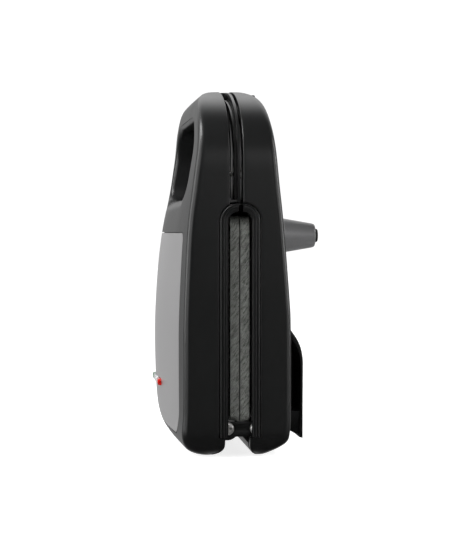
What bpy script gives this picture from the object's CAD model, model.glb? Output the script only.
"""An electric sandwich maker standing on its hinge end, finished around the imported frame.

Lengths are millimetres in the part's own axes until a mesh is made: X is the thickness (lid at -X,
base at +X), Y runs along the hinge and Z is up. Meshes are in metres, in the frame's axes.
"""

import math

import bmesh
import bpy
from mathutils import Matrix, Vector


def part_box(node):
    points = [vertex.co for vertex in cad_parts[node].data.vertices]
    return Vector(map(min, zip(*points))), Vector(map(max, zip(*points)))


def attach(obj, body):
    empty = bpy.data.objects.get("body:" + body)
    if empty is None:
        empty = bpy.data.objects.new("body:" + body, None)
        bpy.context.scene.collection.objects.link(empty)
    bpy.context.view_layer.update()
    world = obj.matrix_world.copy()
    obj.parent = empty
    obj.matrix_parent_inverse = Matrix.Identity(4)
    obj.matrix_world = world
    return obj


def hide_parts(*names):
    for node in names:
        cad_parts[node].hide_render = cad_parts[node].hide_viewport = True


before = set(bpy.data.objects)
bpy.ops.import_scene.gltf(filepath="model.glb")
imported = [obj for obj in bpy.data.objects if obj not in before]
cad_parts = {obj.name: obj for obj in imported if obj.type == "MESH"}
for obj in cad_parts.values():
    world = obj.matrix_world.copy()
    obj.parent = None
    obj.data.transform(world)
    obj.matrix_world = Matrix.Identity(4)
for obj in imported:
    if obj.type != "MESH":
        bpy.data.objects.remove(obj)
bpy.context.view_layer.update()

# ---- Sizes shared with the part's source ------------------------------------------------------

MM = 0.001
HEIGHT, HALF_WIDTH, WALL, GAP = 249, 115, 2.8, 0.3
LID, BASE = -1, 1
ARCH_START, ARCH_POWER, FOOT_CORNER = 190, 2.45, 16
PARTING, LEG_TOP = 1.5, 12.7
FRAME_HIGH, FRAME_LOW = 168.3, 13
LEG = {LID: 10.3, BASE: 6.3}
LAND = {LID: 20, BASE: 12}
WINDOW = {LID: 14.3, BASE: 13.3}
LID_FACE = [(0, 24), (2, 31.5), (6, 39), (14, 44.6), (30, 48), (60, 49.5), (90, 49.4), (126, 47), (154, 43),
            (180, 36.6), (205, 31), (225, 28.6), (238, 26), (244, 21.5), (247.6, 14.5), (249, 8)]
BASE_FACE = [(0, 16), (2.6, 21), (5.9, 27), (9.6, 31.6), (15, 33.4), (30, 34.4), (85, 34.4), (104, 33.6),
             (134, 31.3), (160, 29), (182, 26.5), (208, 23.8), (225, 21.2), (236, 18.6), (243, 14.6),
             (247.6, 8.6), (249, 5)]
LID_CROWN = [(0, 0), (6, 3), (14, 6), (30, 10.4), (60, 12.2), (90, 12.2), (126, 11), (154, 8.4), (180, 5),
             (205, 2.6), (249, 1)]
BASE_CROWN = [(0, 0), (40, 0.6), (150, 0.6), (249, 0)]
HINGE_Z, EYE, LINK_Y = 18.2, 8, (101, 105)
PIVOT_X = {LID: -8.2, BASE: 11.4}
SLOT = {"bottom": 173, "top": 226, "half_width": 86, "low_round": 14, "high_round": 26}
PANEL = {"half_width": 100, "low": 14, "high": 148.6, "round": 16, "high_round": 5}
LAMP = {"z": 43.5, "half_width": 33, "half_height": 2.4}
LATCH = {"x": -10, "z": 244.2, "half_width": 16, "tip": 20.5}
LATCH_SIDE = 0.6  # free space at each end of the latch
SCREW_SPOTS = [(-108, 36), (108, 36), (-108, 146), (108, 146)]
HINGE_SCREW = {"head": 4.5, "thick": 2.6, "shank": 1.6, "length": 7.4}
BASE_SCREW = {"head": 3, "thick": 1.9, "shank": 1.5, "length": 12.3}
LID_SCREW = {"head": 3, "thick": 1.9, "shank": 1.5, "length": 13.8}
SCREW_TOP = {"hinge": 107.9, "base": 26.4, "lid": -8.5}
SCREW_HOLE = 1.9
LUG_INNER = 96
LINK_EDGES = (12.6, 22.5)
INLET = {"y": 30, "z": 20, "hole": 5.3}
FOOT = {"y": 80, "z": 147, "end": 54}
HOOK = {"inner": 56, "outer": 96, "low": 10.3, "high": 85, "out": 44.1, "wall": 1.6, "root": 34.7}

# ---- Sizes that only the finished surfaces have -------------------------------------------------

RIM = 0.8  # rounding of a half's edge beside the slit and the window
SHARP = 0.01  # stands in for the rim inside a half, where nothing is rounded
EDGE_ROUND = 4.4  # rounding between a half's side and its outer face
TOP_RISE = 0.997  # the arch's top row is read this near to its peak, so that it keeps some width
LAND_BEND, LAND_TOP = 1.8, 8  # heights of the bend and the end of the curve from the land into the leg
# The scoop for the fingers, round the slot's lower edge: it holds the outer face down to the sill there.
# The sill rises by the slope away from that edge, and by the rise from flat to end towards the sides.
SCOOP = {"from": 145, "sill": 30, "slope": 30 / 21, "rise": 26, "flat": 72, "end": 88, "soft": 3.0}
GROOVE = 7.4  # the lid's outer skin ends this far from the parting plane above the window
SLOT_FILLET = 3.4
FRAME_INSET = 1.2  # the frames' outer faces lie this far inside the halves' sides
PANEL_SHEET, PANEL_RECESS, PANEL_GAP = 1, 2.2, 0.6  # its thickness, its seat's depth, the gap round it
RIBS = ((0.0, 1.6, 1.0), (2.1, 3.4, 0.7), (3.9, 4.9, 0.35))  # (from, to, height) in from the frame's edge
# The lid's lip beside the slit: its two planes, its inset from the arch, its depth and its lower ends.
LIP = {"near": 0.4, "far": 2.2, "inset": 0.4, "depth": 4.5, "foot": 168.8}

NEAR, FAR = -5, 80  # cutters start before the parting plane and end past every outer face
PAST = 5  # how far a cutter reaches past the end of what it cuts

LEVEL, LEDGE = 1.6, 0.05  # height between two levels of a half, and of the ledge at the window's foot
RIM_STEPS, SIDE_STEPS, CORNER_STEPS, ACROSS = 4, 10, 7, 96  # divisions along one level of a half

pin_low, pin_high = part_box("latch_pin")
SHIFT = (pin_low[0] + pin_high[0]) / 2 / MM - LATCH["x"]


# ---- Outer form of a half -----------------------------------------------------------------------

def reader(points, steps=8):
    """Reads a uniform Catmull-Rom curve through [height, value] points at any height."""
    samples = []
    count = len(points) - 1
    for i in range(count):
        p = [points[max(i - 1, 0)], points[i], points[i + 1], points[min(i + 2, count)]]
        for k in range(steps + (i == count - 1)):
            t = k / steps
            samples.append(tuple(
                0.5 * (2 * p[1][a] + (p[2][a] - p[0][a]) * t
                       + (2 * p[0][a] - 5 * p[1][a] + 4 * p[2][a] - p[3][a]) * t * t
                       + (3 * p[1][a] - p[0][a] - 3 * p[2][a] + p[3][a]) * t ** 3) for a in (0, 1)))

    def read(z):
        for a, b in zip(samples, samples[1:]):
            if b[0] >= z:
                part = min(max((z - a[0]) / (b[0] - a[0]), 0), 1)
                return a[1] + (b[1] - a[1]) * part
        return samples[-1][1]
    return read


face = {LID: reader(LID_FACE), BASE: reader(BASE_FACE)}
crown = {LID: reader(LID_CROWN), BASE: reader(BASE_CROWN)}


def half_width(z):
    """Half the outline's width at a height: round lower corners and an arched top."""
    if z < FOOT_CORNER:
        return HALF_WIDTH - FOOT_CORNER + math.sqrt(FOOT_CORNER ** 2 - (FOOT_CORNER - max(z, 0)) ** 2)
    if z < ARCH_START:
        return HALF_WIDTH
    rise = min((z - ARCH_START) / (HEIGHT - ARCH_START), TOP_RISE)
    return HALF_WIDTH * (1 - rise ** ARCH_POWER) ** (1 / ARCH_POWER)


def smooth_step(value, low, high):
    """Rises from 0 to 1 between two values, level at both ends."""
    t = min(max((value - low) / (high - low), 0), 1)
    return t * t * (3 - 2 * t)


def depth_at(side, y, z, scooped=True):
    """How far the outer face lies from the parting plane, with the scoop under the slot."""
    width = half_width(z)
    depth = face[side](z) - crown[side](z) * (width / HALF_WIDTH) ** 2 * (y / width) ** 2
    if scooped and z > SCOOP["from"]:
        sill = (SCOOP["sill"] + abs(SLOT["bottom"] - z) * SCOOP["slope"]
                + SCOOP["rise"] * smooth_step(abs(y), SCOOP["flat"], SCOOP["end"]))
        soft = SCOOP["soft"]
        mix = min(max(0.5 + 0.5 * (sill - depth) / soft, 0), 1)
        depth = sill * (1 - mix) + depth * mix - soft * mix * (1 - mix)
    return depth


def place(x, y, z):
    return ((x + SHIFT) * MM, y * MM, z * MM)


def row(side, x_in, z, normal, inset):
    """One level of a half, from the rim on one side wall over the face to the rim on the other."""
    width = half_width(z) - inset
    depth = face[side](z) - inset
    corner = min(EDGE_ROUND, depth * 0.4, width * 0.3)
    flat = width - corner
    edge = depth_at(side, flat, z) - inset - corner
    rim = RIM if inset == 0 else SHARP
    start = x_in + rim * normal[0]
    near = []
    for k in range(RIM_STEPS + 1):
        a = math.radians(90 * k / RIM_STEPS)
        reach = rim * (1 - math.cos(a))
        near.append((x_in + reach * normal[0], width - rim * (1 - math.sin(a)), z + reach * normal[1]))
    for k in range(1, SIDE_STEPS + 1):
        t = k / SIDE_STEPS
        near.append((start + (edge - start) * t, width, z + rim * normal[1] * (1 - t)))
    for k in range(1, CORNER_STEPS + 1):
        a = math.radians(90 * k / CORNER_STEPS)
        near.append((edge + corner * math.sin(a), flat + corner * math.cos(a), z))
    across = []
    for k in range(1, ACROSS):
        y = -flat + 2 * flat * k / ACROSS
        across.append((depth_at(side, y, z) - inset, y, z))
    left = [(x, -y, h) for x, y, h in near]
    return [(side * x, y, h) for x, y, h in left + across + near[::-1]]


def leg_levels(leg, land, steps=8):
    """The levels of a half's rim from the land at its hinge end up to the window's foot."""
    levels = []
    for k in range(steps + 1):
        t = k / steps
        x = (1 - t) ** 2 * land + (1 - (1 - t) ** 2) * leg
        z = 2 * t * (1 - t) * LAND_BEND + t * t * LAND_TOP
        rise = 2 * (1 - t) * LAND_BEND + 2 * t * (LAND_TOP - LAND_BEND)
        normal = Vector((rise, 2 * (1 - t) * (land - leg))).normalized()
        levels.append((x, z, tuple(normal)))
    return levels + [(leg, z, (1, 0)) for z in (*range(LAND_TOP + 1, math.ceil(LEG_TOP)), LEG_TOP)]


def window_levels(window, inner, steps=14):
    """The levels of a half's rim up the window's side and round its upper corner to the slit."""
    foot = LEG_TOP + LEDGE
    band = FRAME_HIGH + GAP - window + PARTING
    count = round((band - LEG_TOP) / LEVEL)
    levels = [(window, foot + (band - foot) * k / count, (1, 0)) for k in range(count)]
    radius = window - PARTING
    last = math.acos((inner - PARTING) / radius)
    for k in range(steps + 1):
        a = last * k / steps
        normal = (math.cos(a), math.sin(a)) if k < steps else (1, 1)
        levels.append((PARTING + radius * math.cos(a), band + radius * math.sin(a), normal))
    return levels


def slit_levels(inner, start, steps=13, arch_steps=44, arch_end=86.6):
    """The levels of a half's rim up the slit to the top of the arch."""
    levels = [(inner, start + (ARCH_START - start) * k / steps, (1, 0)) for k in range(steps)]
    for k in range(arch_steps + 1):
        a = math.radians(arch_end * k / arch_steps)
        z = ARCH_START + (HEIGHT - ARCH_START) * math.sin(a) ** (2 / ARCH_POWER)
        levels.append((inner, min(z, HEIGHT), (1, 0)))
    return levels + [(inner, HEIGHT, (1, 0))]


def rim_levels(side):
    """The inner edge of a half as (x, z, (nx, nz)) from the land up to the top of the arch."""
    inner = GROOVE if side == LID else PARTING
    levels = leg_levels(LEG[side], LAND[side]) + window_levels(WINDOW[side], inner)
    return levels + slit_levels(inner, levels[-1][1] + RIM + 0.2)


# ---- Meshes -------------------------------------------------------------------------------------

def raw_object(name, points, faces):
    """A closed mesh object from points in millimetres, its faces turned outward."""
    mesh = bpy.data.meshes.new(name)
    mesh.from_pydata([place(*p) for p in points], [], faces)
    made = bmesh.new()
    made.from_mesh(mesh)
    bmesh.ops.recalc_face_normals(made, faces=made.faces)
    made.to_mesh(mesh)
    made.free()
    obj = bpy.data.objects.new(name, mesh)
    bpy.context.scene.collection.objects.link(obj)
    return obj


def stacked(name, rings):
    """A solid of rings with the same number of points, closed at both ends."""
    size = len(rings[0])
    points = [p for ring in rings for p in ring]
    faces = []
    for i in range(len(rings) - 1):
        for j in range(size):
            k = (j + 1) % size
            faces.append((i * size + j, i * size + k, (i + 1) * size + k, (i + 1) * size + j))
    faces.append(tuple(range(size)))
    faces.append(tuple(range((len(rings) - 1) * size, len(rings) * size)))
    return raw_object(name, points, faces)


def prism(name, axis, outline, low, high):
    """An outline extruded along X (outline in Y, Z) or along Y (outline in X, Z)."""
    if axis == "x":
        return stacked(name, [[(x, a, b) for a, b in outline] for x in (low, high)])
    return stacked(name, [[(a, y, b) for a, b in outline] for y in (low, high)])


def block(name, x, y, z):
    """A box between the given ends on each axis."""
    return prism(name, "x", [(y[0], z[0]), (y[1], z[0]), (y[1], z[1]), (y[0], z[1])], *x)


def circle(radius, a, b, sides=48):
    turns = [2 * math.pi * k / sides for k in range(sides)]
    return [(a + radius * math.cos(t), b + radius * math.sin(t)) for t in turns]


def rod(name, axis, radius, low, high, a, b, sides=48):
    """A round bar along X, through (a, b) in Y, Z, or along Y, through (a, b) in X, Z."""
    return prism(name, axis, circle(radius, a, b, sides), low, high)


def turned(name, outline, place_at, axis="x", sides=64):
    """A turned solid from [radius, position] points, about a line along X or Y through place_at."""
    thinnest = 0.02
    rings = []
    for radius, at in outline:
        ring = circle(max(radius, thinnest), 0, 0, sides)
        if axis == "x":
            rings.append([(at, place_at[1] + a, place_at[2] + b) for a, b in ring])
        else:
            rings.append([(place_at[0] + a, at, place_at[2] + b) for a, b in ring])
    return stacked(name, rings)


def combine(obj, other, operation="DIFFERENCE"):
    """Applies one boolean to obj and removes the other object."""
    step = obj.modifiers.new("step", "BOOLEAN")
    step.operation = operation
    step.solver = "MANIFOLD"
    step.object = other
    graph = bpy.context.evaluated_depsgraph_get()
    mesh = bpy.data.meshes.new_from_object(obj.evaluated_get(graph))
    obj.modifiers.clear()
    old = obj.data
    obj.data = mesh
    bpy.data.meshes.remove(old)
    bpy.data.objects.remove(other)
    return obj


def bevel(obj, width, segments=3):
    """Rounds the sharp edges of obj by width in millimetres."""
    merge, level, sharp = 2e-6, 1.5, 35  # metres between joined points, degrees of a level and a sharp edge
    made = bmesh.new()
    made.from_mesh(obj.data)
    bmesh.ops.remove_doubles(made, verts=made.verts, dist=merge)
    bmesh.ops.dissolve_limit(made, angle_limit=math.radians(level), verts=made.verts, edges=made.edges)
    made.to_mesh(obj.data)
    made.free()
    step = obj.modifiers.new("edges", "BEVEL")
    step.width = width * MM
    step.segments = segments
    step.limit_method = "ANGLE"
    step.angle_limit = math.radians(sharp)
    step.miter_outer = "MITER_ARC"
    step.harden_normals = False
    graph = bpy.context.evaluated_depsgraph_get()
    mesh = bpy.data.meshes.new_from_object(obj.evaluated_get(graph))
    obj.modifiers.clear()
    old = obj.data
    obj.data = mesh
    bpy.data.meshes.remove(old)
    return obj


def finished(obj, body, look, slot, *nodes, angle=34):
    """Shades a finished mesh, gives it its material, and lets it ride and stand for its CAD nodes."""
    mesh = obj.data
    mesh.materials.clear()
    mesh.materials.append(look)
    mesh.shade_smooth()
    mesh.set_sharp_from_angle(angle=math.radians(angle))
    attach(obj, body)
    if nodes:
        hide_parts(*nodes)


def copied(node, width, segments=2):
    """A copy of a CAD node's mesh as a new piece, with its edges rounded."""
    obj = bpy.data.objects.new(node + "_fine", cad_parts[node].data.copy())
    bpy.context.scene.collection.objects.link(obj)
    return bevel(obj, width, segments)


# ---- Materials ----------------------------------------------------------------------------------

NOISE_RANGE = (0.35, 0.65)  # most of the noise's values lie between these
RELIEF = 0.0004  # metres
COAT_ROUGH = 0.06


def material(name, colour, rough, metal=0.0, grain=900.0, bump=0.05, vary=0.04, tint=0.12,
             stretch=(1, 1, 1), patch=22.0, coat=0.0, turn=0.0):
    """A procedural finish: broad patches and fine grain in its colour, roughness and relief.

    The fine grain is drawn out along one axis by a stretch below 1 and packed along it by one above 1,
    after a turn about Y.
    """
    made = bpy.data.materials.new(name)
    made.use_nodes = True
    nodes, links = made.node_tree.nodes, made.node_tree.links
    shader = nodes["Principled BSDF"]
    shader.inputs["Metallic"].default_value = metal
    shader.inputs["Coat Weight"].default_value = coat
    shader.inputs["Coat Roughness"].default_value = COAT_ROUGH
    place_in = nodes.new("ShaderNodeTexCoord")
    stretched = nodes.new("ShaderNodeMapping")
    stretched.vector_type = "TEXTURE"
    stretched.inputs["Scale"].default_value = [1 / s for s in stretch]
    stretched.inputs["Rotation"].default_value = (0, turn, 0)
    links.new(place_in.outputs["Object"], stretched.inputs["Vector"])
    fine = nodes.new("ShaderNodeTexNoise")
    fine.inputs["Scale"].default_value = grain
    fine.inputs["Detail"].default_value = 3.0
    links.new(stretched.outputs["Vector"], fine.inputs["Vector"])
    broad = nodes.new("ShaderNodeTexNoise")
    broad.inputs["Scale"].default_value = patch
    broad.inputs["Detail"].default_value = 4.0
    links.new(place_in.outputs["Object"], broad.inputs["Vector"])
    both = nodes.new("ShaderNodeMath")
    both.operation = "MULTIPLY_ADD"
    both.inputs[1].default_value = 0.5
    links.new(fine.outputs["Fac"], both.inputs[0])
    half = nodes.new("ShaderNodeMath")
    half.operation = "MULTIPLY"
    half.inputs[1].default_value = 0.5
    links.new(broad.outputs["Fac"], half.inputs[0])
    links.new(half.outputs[0], both.inputs[2])
    shade = nodes.new("ShaderNodeMapRange")
    shade.inputs["From Min"].default_value = NOISE_RANGE[0]
    shade.inputs["From Max"].default_value = NOISE_RANGE[1]
    shade.inputs["To Min"].default_value = rough - vary
    shade.inputs["To Max"].default_value = rough + vary
    links.new(both.outputs[0], shade.inputs["Value"])
    links.new(shade.outputs["Result"], shader.inputs["Roughness"])
    ramp = nodes.new("ShaderNodeValToRGB")
    ramp.color_ramp.elements[0].position = NOISE_RANGE[0]
    ramp.color_ramp.elements[1].position = NOISE_RANGE[1]
    for element, scale in zip(ramp.color_ramp.elements, (1 - tint, 1 + tint)):
        element.color = (*(min(c * scale, 1) for c in colour), 1)
    links.new(both.outputs[0], ramp.inputs["Fac"])
    links.new(ramp.outputs["Color"], shader.inputs["Base Color"])
    relief = nodes.new("ShaderNodeBump")
    relief.inputs["Strength"].default_value = bump
    relief.inputs["Distance"].default_value = RELIEF
    links.new(fine.outputs["Fac"], relief.inputs["Height"])
    links.new(relief.outputs["Normal"], shader.inputs["Normal"])
    return made


PLASTIC = material("satin_black_plastic", (0.0075, 0.0078, 0.008), 0.34, grain=1500, bump=0.05, tint=0.1)
PANEL_METAL = material("satin_panel", (0.5, 0.495, 0.5), 0.34, metal=0.9, grain=60, bump=0.06, tint=0.05,
                       stretch=(1, 1, 40))
CAST = material("coated_cast_plate", (0.26, 0.27, 0.25), 0.55, metal=0.35, grain=1500, bump=1.0, vary=0.12,
                tint=0.8, patch=2600, stretch=(1, 1, 0.2), turn=0.6)
SHEET = material("folded_sheet_steel", (0.55, 0.56, 0.56), 0.42, metal=1.0, grain=90, stretch=(1, 12, 1))
STEEL = material("bright_screw_steel", (0.8, 0.79, 0.77), 0.38, metal=0.8, grain=1200, bump=0.12)
ELEMENT = material("heater_tube_steel", (0.3, 0.27, 0.24), 0.45, metal=1.0, grain=500, bump=0.2, tint=0.25)
GREY = material("grey_foot_plastic", (0.17, 0.17, 0.173), 0.36, grain=1600, bump=0.12, tint=0.12)
RUBBER = material("foot_rubber", (0.012, 0.012, 0.012), 0.72, grain=1100, bump=0.5, tint=0.3)
CERAMIC = material("glazed_ceramic", (0.62, 0.59, 0.52), 0.5, grain=600, bump=0.25, tint=0.08)
RED = material("red_lens", (0.62, 0.012, 0.006), 0.14, grain=400, bump=0.03, tint=0.2, coat=0.6)
GREEN = material("green_lens", (0.02, 0.16, 0.05), 0.12, grain=400, bump=0.03, tint=0.2, coat=0.6)
CLEAR = material("clear_lens", (0.6, 0.62, 0.62), 0.1, grain=400, bump=0.03, tint=0.06, coat=0.6)


# ---- Shells -------------------------------------------------------------------------------------

def rounded(half, low, high, low_round, high_round, steps=16):
    """A rectangle with round corners as points in Y, Z."""
    low_z, high_z = low + low_round, high - high_round
    corners = ((1, low_z, low_round, -90), (1, high_z, high_round, 0),
               (-1, high_z, high_round, 90), (-1, low_z, low_round, 180))
    points = []
    for sign, centre_z, radius, first in corners:
        for k in range(steps + 1):
            a = math.radians(first + 90 * k / steps)
            points.append((sign * (half - radius) + radius * math.cos(a), centre_z + radius * math.sin(a)))
    return points


def slot_outline(grow):
    return rounded(SLOT["half_width"] + grow, SLOT["bottom"] - grow, SLOT["top"] + grow,
                   SLOT["low_round"] + grow, SLOT["high_round"] + grow)


def slot_cutter(side):
    """The handle's slot, opening out in a fillet where it meets the outer face."""
    rings = [[(side * NEAR, y, z) for y, z in slot_outline(0)]]
    for a in range(0, 76, 15):
        grow = SLOT_FILLET * (1 - math.cos(math.radians(a)))
        below = SLOT_FILLET * (1 - math.sin(math.radians(a)))
        rings.append([(side * (depth_at(side, y, z) - below), y, z) for y, z in slot_outline(grow)])
    last = rings[-1]
    rings.append([(side * FAR, y, z) for _, y, z in last])
    return stacked("slot", rings)


def hollow(side):
    """The room inside a half, less the walls, the posts and the latch's block that stand in it."""
    levels, start = 60, -2
    rings = []
    for k in range(levels + 1):
        z = HEIGHT * (1 - math.cos(math.pi * k / levels)) / 2
        ring = row(side, start, z, (1, 0), WALL)
        rings.append([(x, y, WALL + z * (HEIGHT - 2 * WALL) / HEIGHT) for x, y, _ in ring])
    room = stacked("room", rings)
    leg = side * (LEG[side] + WALL)
    inner = WINDOW[side] + GAP
    combine(room, prism("wall", "x", slot_outline(WALL), side * NEAR, side * FAR))
    whole = (-HALF_WIDTH - PAST, HALF_WIDTH + PAST)
    combine(room, block("wall", sorted((side * NEAR, leg)), whole, (-PAST, LEG_TOP + 4)))
    wide, deep, low, post = LATCH["half_width"] + 4, 30, HEIGHT - 12, 3.6
    combine(room, block("wall", sorted((side * NEAR, side * deep)), (-wide, wide), (low, HEIGHT + PAST)))
    for y, z in SCREW_SPOTS:
        combine(room, rod("post", "x", post, *sorted((side * inner, side * FAR)), y, z))
    return room


def lug(side, end):
    """The lug that a hinge screw holds to, just inside the link."""
    y0, y1 = sorted((end * LUG_INNER, end * (LINK_Y[0] - GAP)))
    top = LINK_EDGES[1]
    if side == BASE:
        outline = [(6.6, top), (2.6, 14), (2.6, 12.2), (6.6, 7.6), (24, 7.6), (24, top)]
        return prism("lug", "y", outline, y0, y1)
    pivot, eye = PIVOT_X[LID], 4.5
    low = HINGE_Z - eye
    outline = [(-24, 8), (-11.5, 8), (-11.5, low), (pivot, low), (pivot, top), (-24, top)]
    return combine(prism("lug", "y", outline, y0, y1), rod("eye", "y", eye, y0, y1, pivot, HINGE_Z), "UNION")


def hinge_room(side, obj):
    """Adds the lugs and clears the space for the links and the screw heads."""
    pivot = PIVOT_X[side]
    head_room, head_end = 5, 108.5
    for end in (-1, 1):
        link_y = sorted((end * (LINK_Y[0] - GAP), end * (LINK_Y[1] + GAP)))
        head_y = sorted((end * LINK_Y[1], end * head_end))
        shank_y = sorted((end * (LUG_INNER - 1), end * LINK_Y[0]))
        combine(obj, lug(side, end), "UNION")
        combine(obj, rod("room", "y", EYE + 0.6, *link_y, pivot, HINGE_Z))
        combine(obj, rod("room", "y", head_room, *head_y, pivot, HINGE_Z))
        combine(obj, rod("room", "y", SCREW_HOLE, *shank_y, pivot, HINGE_Z))
        if side == BASE:
            swing = [(NEAR, 23.2), (17.2, 23.2), (17.2, 16), (10, 0.5), (10, -PAST), (NEAR, -PAST)]
            combine(obj, prism("swing", "y", swing, *link_y))


def latch_room(side, obj):
    """Clears the trough that the latch lies in, and the holes for its pin."""
    wide, z = LATCH["half_width"] + LATCH_SIDE, LATCH["z"]
    pin_hole, pin_end = 1.8, wide + 2.6
    if side == BASE:
        combine(obj, block("trough", (0, 30), (-wide, wide), (z - 0.6, HEIGHT + PAST)))
    else:
        combine(obj, block("trough", (-16, 0), (-wide, wide), (z - 3.6, HEIGHT + PAST)))
        combine(obj, block("trough", (-30, -15), (-wide, wide), (z + 1.2, HEIGHT + PAST)))
        combine(obj, rod("pin_holes", "y", pin_hole, -pin_end, pin_end, LATCH["x"], z))


def skin(name, side, inner, outer, outline):
    """The part of the outer form between two offsets from its face, inside an outline in Y, Z."""
    columns, levels, margin = 64, 72, 2
    low = min(z for _, z in outline) - margin
    high = max(z for _, z in outline) + margin
    half = max(y for y, _ in outline) + margin
    rings = []
    for i in range(levels + 1):
        z = low + (high - low) * i / levels
        ys = [-half + 2 * half * j / columns for j in range(columns + 1)]
        outside = [(side * (depth_at(side, y, z, False) + outer), y, z) for y in ys]
        inside = [(side * (depth_at(side, y, z, False) + inner), y, z) for y in reversed(ys)]
        rings.append(outside + inside)
    made = stacked(name, rings)
    return combine(made, prism("outline", "x", outline, *sorted((side * 10, side * FAR))), "INTERSECT")


def lamp_outline(grow):
    """The lamp bar's outline with round ends, as points in Y, Z."""
    r = LAMP["half_height"] + grow
    across = LAMP["half_width"] - LAMP["half_height"]
    right = [(across + r * math.cos(math.radians(a)), LAMP["z"] + r * math.sin(math.radians(a)))
             for a in range(-90, 91, 15)]
    return right + [(-y, 2 * LAMP["z"] - z) for y, z in right]


def lamp_cutter():
    return prism("lamp_hole", "x", lamp_outline(GAP), -60, -30)


def panel_outline(grow):
    return rounded(PANEL["half_width"] + grow, PANEL["low"] - grow, PANEL["high"] + grow, PANEL["round"],
                   PANEL["high_round"])


def half_shell(side):
    """A moulded half with rounded rims, its slot, its hinge lugs and its screw posts."""
    name = "lid_shell" if side == LID else "base_shell"
    body = stacked(name, [row(side, x, z, n, 0) for x, z, n in rim_levels(side)])
    combine(body, hollow(side))
    combine(body, slot_cutter(side))
    hinge_room(side, body)
    latch_room(side, body)
    if side == LID:
        combine(body, skin("recess", LID, -PANEL_RECESS, 20, panel_outline(PANEL_GAP)))
        return combine(body, lamp_cutter())
    bore, bore_from, hole = 3.3, 24, 1.8
    for y, z in SCREW_SPOTS:
        combine(body, rod("counterbore", "x", bore, bore_from, FAR, y, z))
        combine(body, rod("hole", "x", hole, PAST, bore_from + PAST, y, z))
    return combine(body, rod("inlet_hole", "x", INLET["hole"], 20, FAR, INLET["y"], INLET["z"]))


finished(half_shell(LID), "lid", PLASTIC, "black_plastic", "lid_housing")
finished(half_shell(BASE), "base", PLASTIC, "black_plastic", "base_housing")

panel = skin("satin_panel_sheet", LID, -PANEL_SHEET, 0, panel_outline(0))
combine(panel, lamp_cutter())
finished(panel, "lid", PANEL_METAL, "panel_metal", "lid_panel", angle=50)


# ---- Frames, lips and plates --------------------------------------------------------------------

def band_path(side, inset, foot, straight=6, curved=16):
    """The side view of the frame's edge, drawn in by inset, from its foot up and over to the slit."""
    outer = WINDOW[side] - GAP - inset
    band = FRAME_HIGH - (WINDOW[side] - GAP) + PARTING
    points = [(outer, foot)]
    points += [(outer, foot + (band - foot) * k / straight) for k in range(1, straight)]
    radius = outer - PARTING
    for k in range(curved + 1):
        a = math.radians(90 * k / curved)
        points.append((PARTING + radius * math.cos(a), band + radius * math.sin(a)))
    return points


def rib(side, end, near, far, proud):
    """One raised rib round the window, with a rounded crest."""
    outside, inside = band_path(side, near, FRAME_LOW), band_path(side, far, FRAME_LOW)
    base_y, steps, foot_height = HALF_WIDTH - FRAME_INSET, 8, 0.9
    rings = []
    for (xo, zo), (xi, zi) in zip(outside, inside):
        ring = []
        for k in range(steps + 1):
            t = k / steps
            lift = math.sqrt(max(1 - (2 * t - 1) ** 2, 0))
            y = end * (base_y + (foot_height + proud) * lift)
            ring.append((side * (xo + (xi - xo) * t), y, zo + (zi - zo) * t))
        sunk = end * (base_y - 1)
        rings.append(ring + [(side * xi, sunk, zi), (side * xo, sunk, zo)])
    return stacked("rib", rings)


def joined(name, parts):
    """One object holding every given mesh."""
    made = bmesh.new()
    for part in parts:
        made.from_mesh(part.data)
        bpy.data.objects.remove(part)
    mesh = bpy.data.meshes.new(name)
    made.to_mesh(mesh)
    made.free()
    obj = bpy.data.objects.new(name, mesh)
    bpy.context.scene.collection.objects.link(obj)
    return obj


for side, body in ((LID, "lid"), (BASE, "base")):
    ribs = [rib(side, end, *sizes) for end in (-1, 1) for sizes in RIBS]
    finished(joined(body + "_window_ribs", ribs), body, PLASTIC, "black_plastic", angle=60)


def arch_outline(inset, foot, steps=48, end=89.9):
    """The outline above a height, drawn in by inset, as points in Y, Z."""
    right = [(HALF_WIDTH - inset, foot)]
    for k in range(steps + 1):
        a = math.radians(end * k / steps)
        rise = math.sin(a) ** (2 / ARCH_POWER)
        run = math.cos(a) ** (2 / ARCH_POWER)
        right.append(((HALF_WIDTH - inset) * run, ARCH_START + (HEIGHT - ARCH_START - inset) * rise))
    return right + [(-y, z) for y, z in reversed(right)]


def parting_lip():
    """The lid's thin upright lip, which follows the arch beside the slit and stops at the latch."""
    x0, x1 = -LIP["far"], -LIP["near"]
    inset, foot, wide = LIP["inset"], LIP["foot"], LATCH["half_width"] + LATCH_SIDE
    lip = prism("lid_parting_lip", "x", arch_outline(inset, foot), x0, x1)
    combine(lip, prism("inner", "x", arch_outline(inset + LIP["depth"], foot - 2), x0 - 1, x1 + 1))
    combine(lip, block("latch_room", (-20, 30), (-wide, wide), (LATCH["z"] - 3.6, HEIGHT + PAST)))
    return bevel(lip, 0.25, segments=2)


finished(parting_lip(), "lid", PLASTIC, "black_plastic")

for node, body in (("lid_frame", "lid"), ("base_frame", "base"), ("lid_handle_cover", "lid"),
                   ("base_handle_cover", "base")):
    finished(copied(node, 0.35), body, PLASTIC, "black_plastic", node)
for node, body in (("upper_plate", "lid"), ("lower_plate", "base")):
    finished(copied(node, 0.6, 3), body, CAST, "cast_plate", node)
for node, body in (("lid_heat_shield", "lid"), ("base_heat_shield", "base")):
    finished(copied(node, 0.2), body, SHEET, "sheet_steel", node)


# ---- Screws and links ---------------------------------------------------------------------------

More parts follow.
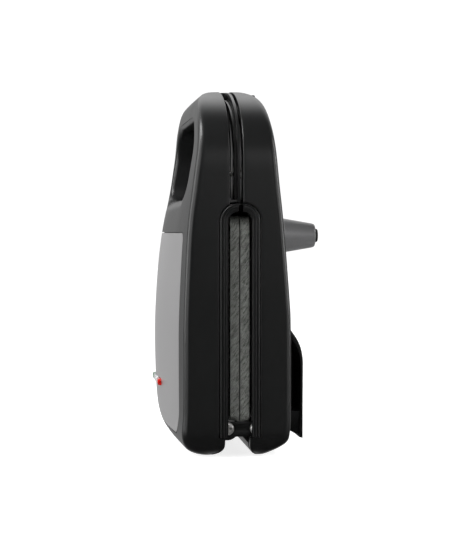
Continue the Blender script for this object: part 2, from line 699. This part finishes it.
def pan_screw(node, body, axis, direction, top, a, b, head, thick, shank, length, steps=8):
    """A pan-head cross-recessed screw. Its head's top is at top, and its shank points along direction."""
    outline = [(0, 0)]
    for k in range(1, steps + 1):
        t = math.radians(90 * k / steps)
        outline.append((head * (0.6 + 0.4 * math.sin(t)), thick * 0.5 * (1 - math.cos(t))))
    outline += [(head, thick * 0.9), (head * 0.97, thick), (shank, thick)]
    outline += [(shank, thick + length), (0, thick + length)]
    place_at = (0, a, b) if axis == "x" else (a, 0, b)
    obj = turned(node + "_fine", [(r, top + direction * d) for r, d in outline], place_at, axis)
    reach, half = head * 0.6, head * 0.15
    deep = sorted((top - direction, top + direction * thick * 0.75))
    for wide, tall in ((reach, half), (half, reach)):
        if axis == "x":
            combine(obj, block("cross", deep, (a - wide, a + wide), (b - tall, b + tall)))
        else:
            combine(obj, block("cross", (a - wide, a + wide), deep, (b - tall, b + tall)))
    finished(obj, body, STEEL, "screw_steel", node, angle=40)


for end, word in ((-1, "left"), (1, "right")):
    for side, body in ((LID, "lid"), (BASE, "base")):
        pan_screw(f"{body}_pivot_screw_{word}", body, "y", -end, end * SCREW_TOP["hinge"], PIVOT_X[side],
                  HINGE_Z, **HINGE_SCREW)
for number, (y, z) in enumerate(SCREW_SPOTS, 1):
    pan_screw(f"base_screw_{number}", "base", "x", -1, SCREW_TOP["base"], y, z, **BASE_SCREW)
    pan_screw(f"lid_screw_{number}", "lid", "x", -1, SCREW_TOP["lid"], y, z, **LID_SCREW)


def link(name, end, steps=32):
    """A hinge link: two eyes joined by a web with level edges."""
    low, high = (math.asin(abs(edge - HINGE_Z) / EYE) for edge in LINK_EDGES)
    outline = []
    for centre, first, last in ((PIVOT_X[LID], math.pi - high, 2 * math.pi - low),
                                (PIVOT_X[BASE], math.pi + low, 2 * math.pi + high)):
        for k in range(steps + 1):
            a = first + (last - first) * k / steps
            outline.append((centre + EYE * math.cos(a), HINGE_Z + EYE * math.sin(a)))
    y0, y1 = sorted((end * LINK_Y[0], end * LINK_Y[1]))
    obj = prism(name, "y", outline, y0, y1)
    for pivot in PIVOT_X.values():
        combine(obj, rod("hole", "y", SCREW_HOLE, y0 - 1, y1 + 1, pivot, HINGE_Z, steps))
    return bevel(obj, 0.5)


for end, word in ((-1, "left"), (1, "right")):
    node = "hinge_link_" + word
    finished(link(node + "_fine", end), "hinge_links", PLASTIC, "black_plastic", node)


# ---- Feet, hooks, inlet and latch ---------------------------------------------------------------

def foot_outline():
    """A front foot as (radius, x): a stub inside the base's back, a collar and a cone to its end."""
    end = FOOT["end"]
    points = [(0, 22), (13.2, 22), (13.2, 31.2), (12.9, 31.8), (11.9, 32.1), (11.6, 32.5), (8.3, end - 2.2)]
    points += [(8.1 - 1.6 * (1 - math.cos(math.radians(a))), end - 1.8 + 1.8 * math.sin(math.radians(a)))
               for a in range(0, 91, 15)]
    return points + [(5.0, end), (4.8, end - 0.2), (4.8, end - 1.4), (0, end - 1.4)]


def pad_outline():
    """A rubber pad as (radius, x), sunk into the end of its foot."""
    end = FOOT["end"]
    points = [(0, end - 1.2), (4.6, end - 1.2), (4.6, end + 0.8)]
    points += [(3.6 + math.cos(math.radians(a)), end + 0.8 + 1.2 * math.sin(math.radians(a)))
               for a in range(15, 91, 15)]
    return points + [(2.0, end + 2.0), (0, end + 1.9)]


def curve(p0, p1, p2, p3, steps=20):
    """A cubic Bezier curve as points, both ends included."""
    points = []
    for k in range(steps + 1):
        t = k / steps
        points.append(tuple(p0[i] * (1 - t) ** 3 + 3 * p1[i] * t * (1 - t) ** 2
                            + 3 * p2[i] * t * t * (1 - t) + p3[i] * t ** 3 for i in (0, 1)))
    return points


def hook(name, end):
    """A rear foot that the cord is wound behind: a bowed wall, a web at its foot and a stop inside."""
    low, high, out, wall, root = (HOOK[key] for key in ("low", "high", "out", "wall", "root"))
    y0, y1 = sorted((end * HOOK["inner"], end * HOOK["outer"]))
    outline = curve((root, high), (root + 3.4, high - 6), (out, high - 10), (out, high - 26))
    outline += [(out, 26), (out - 0.3, low), (out - 0.3 - wall * 1.4, low + 0.6), (out - wall, 26)]
    outline += curve((out - wall, high - 26), (out - wall, high - 14), (root + 2.2, high - 10),
                     (root, high - 4))
    web = [(root, 28), (out - 0.8, 28), (out - 1, low + 0.6), (root, 15.4)]
    stop = [(root, 27), (out - 0.8, 27), (out - 0.8, high - 25), (out - 2.4, high - 16),
            (root + 3, high - 8), (root, high - 5)]
    stop_y = sorted((end * HOOK["inner"], end * (HOOK["inner"] + wall)))
    body = prism(name, "y", outline, y0, y1)
    combine(body, prism("web", "y", web, y0 + 4, y1 - 4), "UNION")
    combine(body, prism("stop", "y", stop, *stop_y), "UNION")
    return bevel(body, 0.45)


for end, word in ((-1, "left"), (1, "right")):
    centre = (0, end * FOOT["y"], FOOT["z"])
    finished(turned(f"front_foot_{word}_fine", foot_outline(), centre), "base", GREY, "grey_plastic",
             f"front_foot_{word}", angle=40)
    finished(turned(f"foot_pad_{word}_fine", pad_outline(), centre), "base", RUBBER, "foot_rubber",
             f"foot_pad_{word}", angle=40)
    node = "cord_hook_" + word
    finished(hook(node + "_fine", end), "base", PLASTIC, "black_plastic", node)


def inlet(sides=48):
    """The bend collar that the mains cord comes out of, with rings round its neck."""
    points = [(3.2, 27), (5, 27), (5, 34.4), (7.6, 34.7), (7.8, 35.6), (7.4, 36.3), (6.5, 36.8)]
    count, first, apart, narrower = 4, 37.1, 0.75, 0.2
    for k in range(count):
        at, less = first + apart * k, narrower * k
        points += [(6.0 - less, at), (5.3 - less, at + 0.3), (5.3 - less, at + 0.5)]
    points += [(4.6, 40), (3.4, 40), (3.2, 39.8)]
    rings = [[(at, y, z) for y, z in circle(radius, INLET["y"], INLET["z"], sides)] for radius, at in points]
    flat = [p for ring in rings for p in ring]
    faces = []
    for i in range(len(rings)):
        n = (i + 1) % len(rings)
        for j in range(sides):
            k = (j + 1) % sides
            faces.append((i * sides + j, i * sides + k, n * sides + k, n * sides + j))
    return raw_object("cord_inlet_fine", flat, faces)


finished(inlet(), "base", RUBBER, "black_plastic", "cord_inlet", angle=50)


def latch(name, steps=16):
    """The latch: an eye round the pin, a strap over both halves and a lifted tip with grip grooves."""
    x, z, tip, half = LATCH["x"], LATCH["z"], LATCH["tip"], LATCH["half_width"]
    strap = [(x - 2, z + 1.2), (x + 2, z - 1.4), (x + 3, z), (15, z), (tip - 1, z + 1.1), (tip, z + 1.8),
             (tip - 0.6, z + 2.9), (12, z + 3)]
    for k in range(1, steps + 1):
        t = k / steps
        strap.append((12 * (1 - t) ** 2 + (x - 2) * t * t,
                      (z + 3) * (1 - t) ** 2 + 2 * (z + 5.6) * t * (1 - t) + (z + 3.6) * t * t))
    eye, hole = 3, 1.8
    body = prism(name, "y", strap, -half, half)
    combine(body, rod("eye", "y", eye, -half, half, x, z), "UNION")
    combine(body, rod("hole", "y", hole, -half - 1, half + 1, x, z))
    grips, first, apart, wide = 5, 10.4, 1.5, 0.6
    for k in range(grips):
        at = first + apart * k
        combine(body, block("grip", (at, at + wide), (-half + 2.5, half - 2.5), (z + 2.6, z + 6)))
    return bevel(body, 0.3, segments=2)


finished(latch("latch_clip_fine"), "latch", PLASTIC, "black_plastic", "latch_clip")

for node, look, slot, width in (("lens_red", RED, "red_lens", 0.3), ("lens_clear", CLEAR, "clear_lens", 0.2),
                                ("lens_green", GREEN, "green_lens", 0.3)):
    finished(copied(node, width), "lid", look, slot, node)

# The other small parts keep their CAD meshes and take a material each.
PLAIN = {STEEL: ("latch_pin", "upper_plate_screw_left", "upper_plate_screw_right", "lower_plate_screw_left",
                 "lower_plate_screw_right", "lid_cover_screw_1", "lid_cover_screw_2", "base_cover_screw_1",
                 "base_cover_screw_2"),
         ELEMENT: ("upper_element", "lower_element"),
         CERAMIC: ("thermostat", "lamp_holder", "thermal_fuse", "terminal_block"),
         CLEAR: ("neon_lamp_left", "neon_lamp_right")}
for look, names in PLAIN.items():
    for name in names:
        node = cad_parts[name]
        node.data.materials.clear()
        node.data.materials.append(look)


# ---- Camera, light and floor --------------------------------------------------------------------

MIDDLE = (0, 0, 0.13)


def aimed(obj, target):
    """Turns a light or the camera to look at a point."""
    obj.rotation_mode = "QUATERNION"
    obj.rotation_quaternion = (Vector(target) - obj.location).to_track_quat("-Z", "Y")


def lamp(name, at, size, power):
    """A rectangular soft white light of size (across, up) metres, aimed at the object's middle."""
    data = bpy.data.lights.new(name, "AREA")
    data.shape = "RECTANGLE"
    data.size, data.size_y = size
    data.energy = power
    obj = bpy.data.objects.new(name, data)
    bpy.context.scene.collection.objects.link(obj)
    obj.location = at
    aimed(obj, MIDDLE)


camera_data = bpy.data.cameras.new("camera")
camera = bpy.data.objects.new("camera", camera_data)
bpy.context.scene.collection.objects.link(camera)
bpy.context.scene.camera = camera
CAMERA_TURN = math.radians(5.5)
CAMERA_REACH = 1.3
CAMERA_HEIGHT = 0.150
CAMERA_AIM = (SHIFT * MM + 0.0004, 0, 0.1185)
camera.location = (CAMERA_AIM[0] - CAMERA_REACH * math.sin(CAMERA_TURN),
                   -CAMERA_REACH * math.cos(CAMERA_TURN), CAMERA_HEIGHT)
camera_data.lens = 117.6
camera_data.sensor_width = 36
aimed(camera, CAMERA_AIM)

bpy.context.scene.view_settings.view_transform = "Standard"

floor_mesh = bpy.data.meshes.new("floor")
FLOOR_EDGE = 6
floor_corners = [(x * FLOOR_EDGE, y * FLOOR_EDGE, 0) for x, y in ((-1, -1), (1, -1), (1, 1), (-1, 1))]
floor_mesh.from_pydata(floor_corners, [], [(0, 1, 2, 3)])
floor = bpy.data.objects.new("floor", floor_mesh)
bpy.context.scene.collection.objects.link(floor)
floor_look = material("pale_floor", (0.86, 0.86, 0.86), 0.22, grain=40, bump=0.0, vary=0.02, tint=0.01)
floor_shader = floor_look.node_tree.nodes["Principled BSDF"]
floor_shader.inputs["Emission Color"].default_value = (1, 1, 1, 1)
floor_shader.inputs["Specular IOR Level"].default_value = 0.1


def by_eye(tree, dim, bright):
    """A strength that is bright for what the camera sees directly, and dim as a light on the object."""
    path = tree.nodes.new("ShaderNodeLightPath")
    level = tree.nodes.new("ShaderNodeMapRange")
    level.inputs["To Min"].default_value = dim
    level.inputs["To Max"].default_value = bright
    tree.links.new(path.outputs["Is Camera Ray"], level.inputs["Value"])
    return level.outputs["Result"]


FLOOR_GLOW, FLOOR_BRIGHT = 0.06, 0.8
floor_tree = floor_look.node_tree
floor_tree.links.new(by_eye(floor_tree, FLOOR_GLOW, FLOOR_BRIGHT), floor_shader.inputs["Emission Strength"])
floor_mesh.materials.append(floor_look)
floor.visible_glossy = False

world = bpy.data.worlds.new("studio")
bpy.context.scene.world = world
world.use_nodes = True
sky = world.node_tree
backdrop = sky.nodes["Background"]
backdrop.inputs["Color"].default_value = (1, 1, 1, 1)

# A white backdrop stands behind the object, and the room in front of it is dark.
heading = sky.nodes.new("ShaderNodeTexCoord")
axes = sky.nodes.new("ShaderNodeSeparateXYZ")
sky.links.new(heading.outputs["Generated"], axes.inputs["Vector"])


def ramped(axis, start, end, dim, bright):
    """A strength that rises from dim to bright as the heading turns along an axis, from start to end."""
    level = sky.nodes.new("ShaderNodeMapRange")
    for socket, value in zip(("From Min", "From Max", "To Min", "To Max"), (start, end, dim, bright)):
        level.inputs[socket].default_value = value
    sky.links.new(axes.outputs[axis], level.inputs["Value"])
    return level


behind = ramped("Y", 0.3, 0.92, 0.035, 0.5)
behind.interpolation_type = "SMOOTHSTEP"
higher = ramped("Z", 0.2, 0.65, 1.0, 4.0)
around = sky.nodes.new("ShaderNodeMath")
around.operation = "MULTIPLY"
sky.links.new(behind.outputs["Result"], around.inputs[0])
sky.links.new(higher.outputs["Result"], around.inputs[1])
BACKDROP_BRIGHT = 1.05
seen = by_eye(sky, 0.0, BACKDROP_BRIGHT)
brighter = sky.nodes.new("ShaderNodeMath")
brighter.operation = "MAXIMUM"
sky.links.new(seen, brighter.inputs[0])
sky.links.new(around.outputs[0], brighter.inputs[1])
sky.links.new(brighter.outputs[0], backdrop.inputs["Strength"])

lamp("left_box", (-1.3, 0.0, 0.5), (0.7, 1.1), 11)
lamp("left_high_box", (-0.75, -0.15, 1.15), (0.5, 0.5), 11)
lamp("right_box", (1.35, -0.05, 0.5), (0.35, 0.9), 8)
lamp("front_box", (0.45, -1.9, 0.7), (0.6, 0.9), 2.1)
lamp("front_left_box", (-1.5, -1.3, 0.5), (1.1, 1.3), 10.5)
lamp("front_right_box", (1.6, -1.2, 0.45), (0.5, 1.0), 5)
